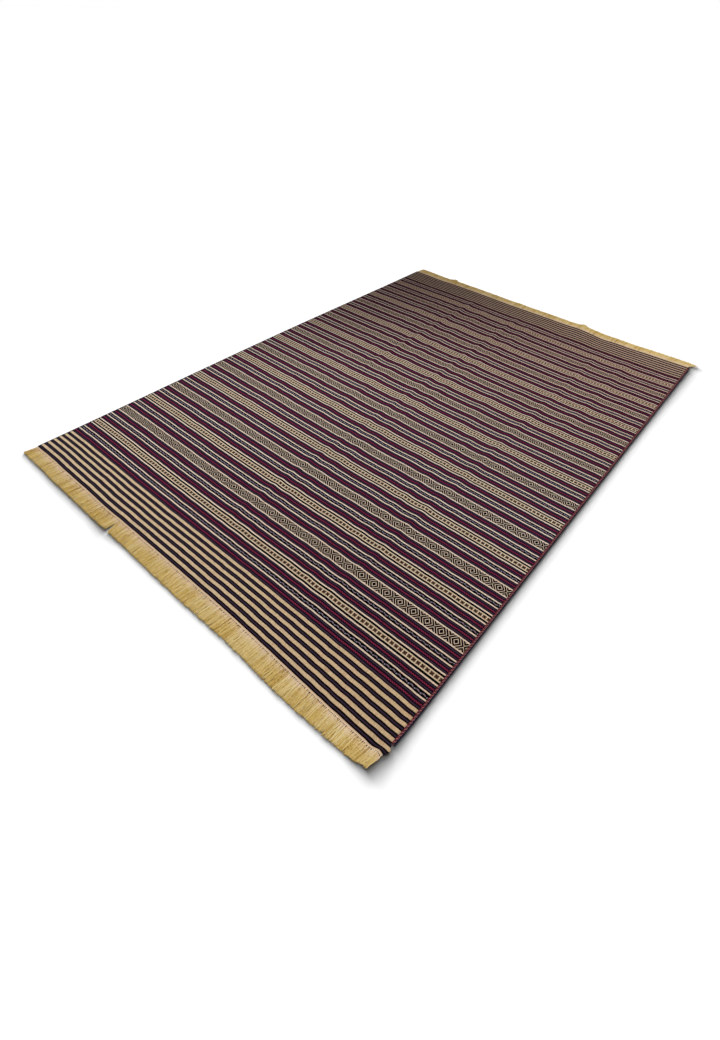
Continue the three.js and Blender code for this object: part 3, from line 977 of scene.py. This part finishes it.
near_root = calc(tree, "SUBTRACT", 1.0, calc(tree, "DIVIDE", u, ROOT_PALE_LENGTH))
near_root = calc(tree, "MAXIMUM", near_root, 0.0)
lit_root = calc(tree, "MULTIPLY", near_root, calc(tree, "MULTIPLY", uneven, ROOT_PALE_SHARE))
color = mix(tree, lit_root, color, ROOT_PALE)
ply = ply_shade(tree, u, v, STRAND_TWIST * 1000)
fibre = noise(tree, u, v, GOLD_FIBRE, tone)
ply_light = calc(tree, "MULTIPLY_ADD", ply, *GOLD_PLY_GAIN)
shade = calc(tree, "MULTIPLY", ply_light, calc(tree, "MULTIPLY_ADD", fibre, *GOLD_FIBRE_GAIN))
color = shaded(tree, color, shade)
finish_wool(tree, shader, color, ply, 0.0006)

HEADING = srgb(212, 182, 148)
HEADING_DOT = srgb(242, 214, 192)
# A dark brown: the heading takes it as painted shade where the strands cover it, and a faint line
# is drawn in it.
UNDER_STRANDS = srgb(66, 44, 26)
HEADING_RIB_PITCH = WEAVE_WIDTH / STRANDS_PER_END
DOT_ROW = 4.4
DOT_HALF_LENGTH = 1.0
DOT_HALF_WIDTH = 1.5
LINE_ROW = 2.4
LINE_HALF = 0.5
LINE_SHARE = 0.35
HEADING_GRAIN = (2.2, 1.1)
HEADING_GRAIN_GAIN = (0.5, 0.75)
heading_wool, tree, shader = new_material("heading wool", 0.95, 0.03)
u, v = uv_millimetres(tree, "yarn")
rib = calc(tree, "ABSOLUTE", wave(tree, u, HEADING_RIB_PITCH, HEADING_RIB_PITCH / 2))
from_dots = calc(tree, "ABSOLUTE", calc(tree, "SUBTRACT", v, DOT_ROW))
dots = both(tree, below(tree, from_dots, DOT_HALF_LENGTH), below(tree, rib, DOT_HALF_WIDTH))
color = mix(tree, dots, HEADING, HEADING_DOT)
line = below(tree, calc(tree, "ABSOLUTE", calc(tree, "SUBTRACT", v, LINE_ROW)), LINE_HALF)
color = mix(tree, calc(tree, "MULTIPLY", line, LINE_SHARE), color, UNDER_STRANDS)
# Painted shade: beyond its pale part, under the strands, the heading is dark brown.
shade_under_strands = calc(tree, "GREATER_THAN", v, HEADING_PALE * 1000)
color = mix(tree, shade_under_strands, color, UNDER_STRANDS)
grain = noise(tree, u, v, HEADING_GRAIN)
color = shaded(tree, color, calc(tree, "MULTIPLY_ADD", grain, *HEADING_GRAIN_GAIN))
finish_wool(tree, shader, color, grain, 0.0006)

near_strands = tube_piece(
    "near_strands",
    fringe_layers(-1, NEAR_LENGTH, NEAR_LEANS, NEAR_STRETCHES, True, 7),
)
near_heading = heading_piece("near_heading", -1)
near_strands.data.materials.append(plied)
near_heading.data.materials.append(heading_wool)
for piece in (near_strands, near_heading):
    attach(piece, "root")
    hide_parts("near_fringe")


# Far fringe. The same strands and heading at the far end, with its own lengths and leans: two
# long locks stick out, and the last strands on the right fan outwards.
FAR_LENGTH = 0.074
FAR_LEANS = [(-1.013, 0.010, 0.090), (0.983, 0.044, 0.060)]
FAR_STRETCHES = [
    (-0.716, 0.022, 0.016),
    (-0.160, 0.006, 0.040),
    (0.300, 0.021, 0.018),
    (0.480, 0.007, 0.060),
    (1.000, -0.010, 0.050),
]
far_strands = tube_piece(
    "far_strands", fringe_layers(1, FAR_LENGTH, FAR_LEANS, FAR_STRETCHES, False, 11)
)
far_heading = heading_piece("far_heading", 1)
far_strands.data.materials.append(plied)
far_heading.data.materials.append(heading_wool)
for piece in (far_strands, far_heading):
    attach(piece, "root")
    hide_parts("far_fringe")


# Right cord. Two yarns, one salmon and one dark navy, are twisted into a cord that is laid along
# the side of the weave from just above the near corner, with a crimson thread on its inner side.
CORD_INSET = 0.0084
CORD_TURN = 0.0125
PLY_RADIUS = 0.0015
PLY_OFFSET = 0.0014
SIDE_START = CORNER_END + 0.006
RINGS_PER_TURN = 9
THREAD_INSET = 0.0122
THREAD_RADIUS = 0.0011
THREAD_HEIGHT = 0.0024
THREAD_SWAY = 0.0003
THREAD_SWAY_RATE = 900
THREAD_RINGS = 900

turns = (FAR_END - SIDE_START) / CORD_TURN
y = np.linspace(SIDE_START, FAR_END, int(turns * RINGS_PER_TURN))
turn = -2 * math.pi * (y - SIDE_START) / CORD_TURN
plies = []
for phase in (0, math.pi):
    x = right_side(y) - CORD_INSET + PLY_OFFSET * np.cos(turn + phase)
    z = PLY_RADIUS + PLY_OFFSET + PLY_OFFSET * np.sin(turn + phase) + hills(STANDS_OFF, x, y)
    plies.append(np.stack([x, y, z], axis=-1))
thread_y = np.linspace(SIDE_START, FAR_END, THREAD_RINGS)
sway = thread_y * THREAD_SWAY_RATE
thread_x = right_side(thread_y) - THREAD_INSET + THREAD_SWAY * np.sin(sway)
thread_z = THREAD_HEIGHT + THREAD_SWAY * np.cos(sway) + hills(STANDS_OFF, thread_x, thread_y)
thread = np.stack([thread_x, thread_y, thread_z], axis=-1)
cord = tube_piece(
    "twisted_cord",
    [
        (tubes(np.array(plies), PLY_RADIUS, PLY_RADIUS, 7), np.array([1.0, 0.0])),
        (tubes(thread[None], THREAD_RADIUS, THREAD_RADIUS, 6), np.array([0.5])),
    ],
)
SALMON = srgb(186, 108, 104)
CORD_DARK = srgb(40, 22, 42)
THREAD = srgb(92, 22, 40)
CORD_FIBRE = (3.0, 0.6)
CORD_FIBRE_GAIN = (0.8, 0.6)
cord_wool, tree, shader = new_material("cord yarns", 0.9, 0.05)
u, v = uv_millimetres(tree, "yarn")
tone = tone_of(tree)
color = mix(tree, calc(tree, "GREATER_THAN", tone, 0.25), CORD_DARK, THREAD)
color = mix(tree, calc(tree, "GREATER_THAN", tone, 0.75), color, SALMON)
fibre = noise(tree, u, v, CORD_FIBRE, tone)
color = shaded(tree, color, calc(tree, "MULTIPLY_ADD", fibre, *CORD_FIBRE_GAIN))
finish_wool(tree, shader, color, fibre, 0.0004)
cord.data.materials.append(cord_wool)
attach(cord, "root")
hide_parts("right_cord")


# Right overcast. Navy yarn is wound over the edge in slanting turns, close together, so that
# the side ends in a firm rounded roll. It is stitched through the weave beside the cord.
RIGHT_OVERCAST_HEIGHT = 0.005
RIGHT_ROLL = 0.0048
RIGHT_TURN = 0.0031
GROOVE_DEPTH = 0.09
UNEVENNESS = 0.05
UNEVEN_RATES = (210, 57)
OVERCAST_RINGS_PER_TURN = 4


def overcast_piece(name, centre_x, width, height, start, turn_length, sides):
    """A roll with slanting grooves between its turns, along the place that centre_x gives."""
    rings = int((FAR_END - start) / turn_length * OVERCAST_RINGS_PER_TURN)
    y = np.linspace(start, FAR_END, rings)
    x = centre_x(y)
    path = np.stack([x, y, height / 2 + hills(STANDS_OFF, x, y)], axis=-1)
    angle = 2 * math.pi * np.arange(sides) / sides
    ribs = 1 - GROOVE_DEPTH * (1 - np.cos(2 * math.pi * y[:, None] / turn_length + angle))
    first, second = (np.sin(y[:, None] * rate) for rate in UNEVEN_RATES)
    uneven = 1 - UNEVENNESS * (1 + first * second)
    size = (ribs * uneven)[None]
    return tube_piece(
        name, [(tubes(path[None], width / 2 * size, height / 2 * size, sides), np.array([0.5]))]
    )


right_overcast = overcast_piece(
    "right_overcast_roll",
    lambda y: right_side(y) - RIGHT_OVERCAST_WIDTH + RIGHT_ROLL / 2,
    RIGHT_ROLL,
    RIGHT_OVERCAST_HEIGHT,
    SIDE_START,
    RIGHT_TURN,
    sides=8,
)
OVERCAST_NAVY = srgb(30, 28, 46)
OVERCAST_FIBRE = (1.2, 1.6)
OVERCAST_FIBRE_GAIN = (0.9, 0.55)
overcast_wool, tree, shader = new_material("overcast yarn", 0.9, 0.05)
u, v = uv_millimetres(tree, "yarn")
fibre = noise(tree, u, v, OVERCAST_FIBRE)
color = shaded(tree, OVERCAST_NAVY, calc(tree, "MULTIPLY_ADD", fibre, *OVERCAST_FIBRE_GAIN))
finish_wool(tree, shader, color, fibre, 0.0004)
right_overcast.data.materials.append(overcast_wool)
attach(right_overcast, "root")
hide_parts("right_overcast")


# Left overcast. The same navy stitching, finer and lower, along the left side of the weave
# from the near end to the far end. There is no cord on this side.
LEFT_OVERCAST_HEIGHT = 0.004
LEFT_TURN = 0.0027
LEFT_START = NEAR_END + 0.004
left_overcast = overcast_piece(
    "left_overcast_roll",
    lambda y: left_side(y) + LEFT_OVERCAST_WIDTH / 2,
    LEFT_OVERCAST_WIDTH,
    LEFT_OVERCAST_HEIGHT,
    LEFT_START,
    LEFT_TURN,
    sides=6,
)
left_overcast.data.materials.append(overcast_wool)
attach(left_overcast, "root")
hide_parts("left_overcast")

pieces = [near_strands, near_heading, far_strands, far_heading, cord, right_overcast, left_overcast]


# Studio floor and light. A white floor; a broad soft light and a far lamp with a soft rim that
# leaves the far left dimmer, for the cloth. Low lamps skim the floor and drop the soft shadow.
FLOOR_SIZE = 60.0
CLOTH_LIGHTS = [(88, 170, 0.20, -128), (48, 60, 0.14, -128)]
FLOOR_HEADINGS = (-108, -128, -154)
FLOOR_LIGHTS = [
    (elevation, spread, share / 3, heading)
    for elevation, spread, share in (
        (58, 30, 0.11),
        (24.5, 12, 0.21),
        (13.6, 6, 0.24),
        (9.3, 4, 0.22),
        (7.1, 2.4, 0.18),
        (5.6, 1.8, 0.16),
        (4.5, 1.4, 0.20),
    )
    for heading in FLOOR_HEADINGS
]
FAR_FRINGE_LIGHT = (60, 40, 0.26, -128)
SKY_LIGHT = 0.04
RIM_LAMP_PLACE = (4.0, -3.0, 20.0)
RIM_LAMP_SHARE = 0.61
RIM_LAMP_RADIUS = 6.7
RIM_LAMP_BLEND = 0.40
RIM_LAMP_SIZE = 0.25
FLOOR_WHITE = (0.85, 0.85, 0.85, 1)
bpy.ops.object.select_all(action="DESELECT")
bpy.ops.mesh.primitive_plane_add(size=FLOOR_SIZE)
floor = bpy.context.object
floor.name = "floor"
floor_finish = bpy.data.materials.new("floor white")
floor_finish.use_nodes = True
floor_shader = floor_finish.node_tree.nodes["Principled BSDF"]
floor_shader.inputs["Base Color"].default_value = FLOOR_WHITE
floor_shader.inputs["Roughness"].default_value = 1.0
floor_shader.inputs["Specular IOR Level"].default_value = 0.0
floor.data.materials.append(floor_finish)

floor_only = bpy.data.collections.new("floor only")
floor_only.objects.link(floor)
cloth_only = bpy.data.collections.new("cloth only")
for piece in [cloth, *pieces]:
    cloth_only.objects.link(piece)
far_fringe_only = bpy.data.collections.new("far fringe only")
for piece in (far_strands, far_heading):
    far_fringe_only.objects.link(piece)
for receivers, lamps in (
    (cloth_only, CLOTH_LIGHTS),
    (floor_only, FLOOR_LIGHTS),
    (far_fringe_only, [FAR_FRINGE_LIGHT]),
):
    for elevation, spread, share, heading in lamps:
        name = f"{receivers.name} {elevation}"
        lamp = bpy.data.lights.new(name, "SUN")
        lamp.angle = math.radians(spread)
        lamp.energy = math.pi * share / math.sin(math.radians(elevation))
        light = bpy.data.objects.new(name, lamp)
        light.rotation_euler = (math.radians(90 - elevation), 0, math.radians(heading))
        light.light_linking.receiver_collection = receivers
        bpy.context.collection.objects.link(light)

lamp = bpy.data.lights.new("rim lamp", "SPOT")
lamp.spot_size = 2 * math.atan(RIM_LAMP_RADIUS / RIM_LAMP_PLACE[2])
lamp.spot_blend = RIM_LAMP_BLEND
lamp.shadow_soft_size = RIM_LAMP_SIZE
lamp.energy = RIM_LAMP_SHARE * 4 * math.pi**2 * RIM_LAMP_PLACE[2] ** 2
light = bpy.data.objects.new("rim lamp", lamp)
light.location = RIM_LAMP_PLACE
light.light_linking.receiver_collection = cloth_only
bpy.context.collection.objects.link(light)

world = bpy.data.worlds.new("studio")
bpy.context.scene.world = world
world.use_nodes = True
sky = world.node_tree.nodes["Background"]
path = world.node_tree.nodes.new("ShaderNodeLightPath")
seen = calc(
    world.node_tree, "MULTIPLY_ADD", path.outputs["Is Camera Ray"], 1 - SKY_LIGHT, SKY_LIGHT
)
sky.inputs["Color"].default_value = (1, 1, 1, 1)
put(world.node_tree, sky.inputs["Strength"], seen)
bpy.context.scene.view_settings.view_transform = "Standard"
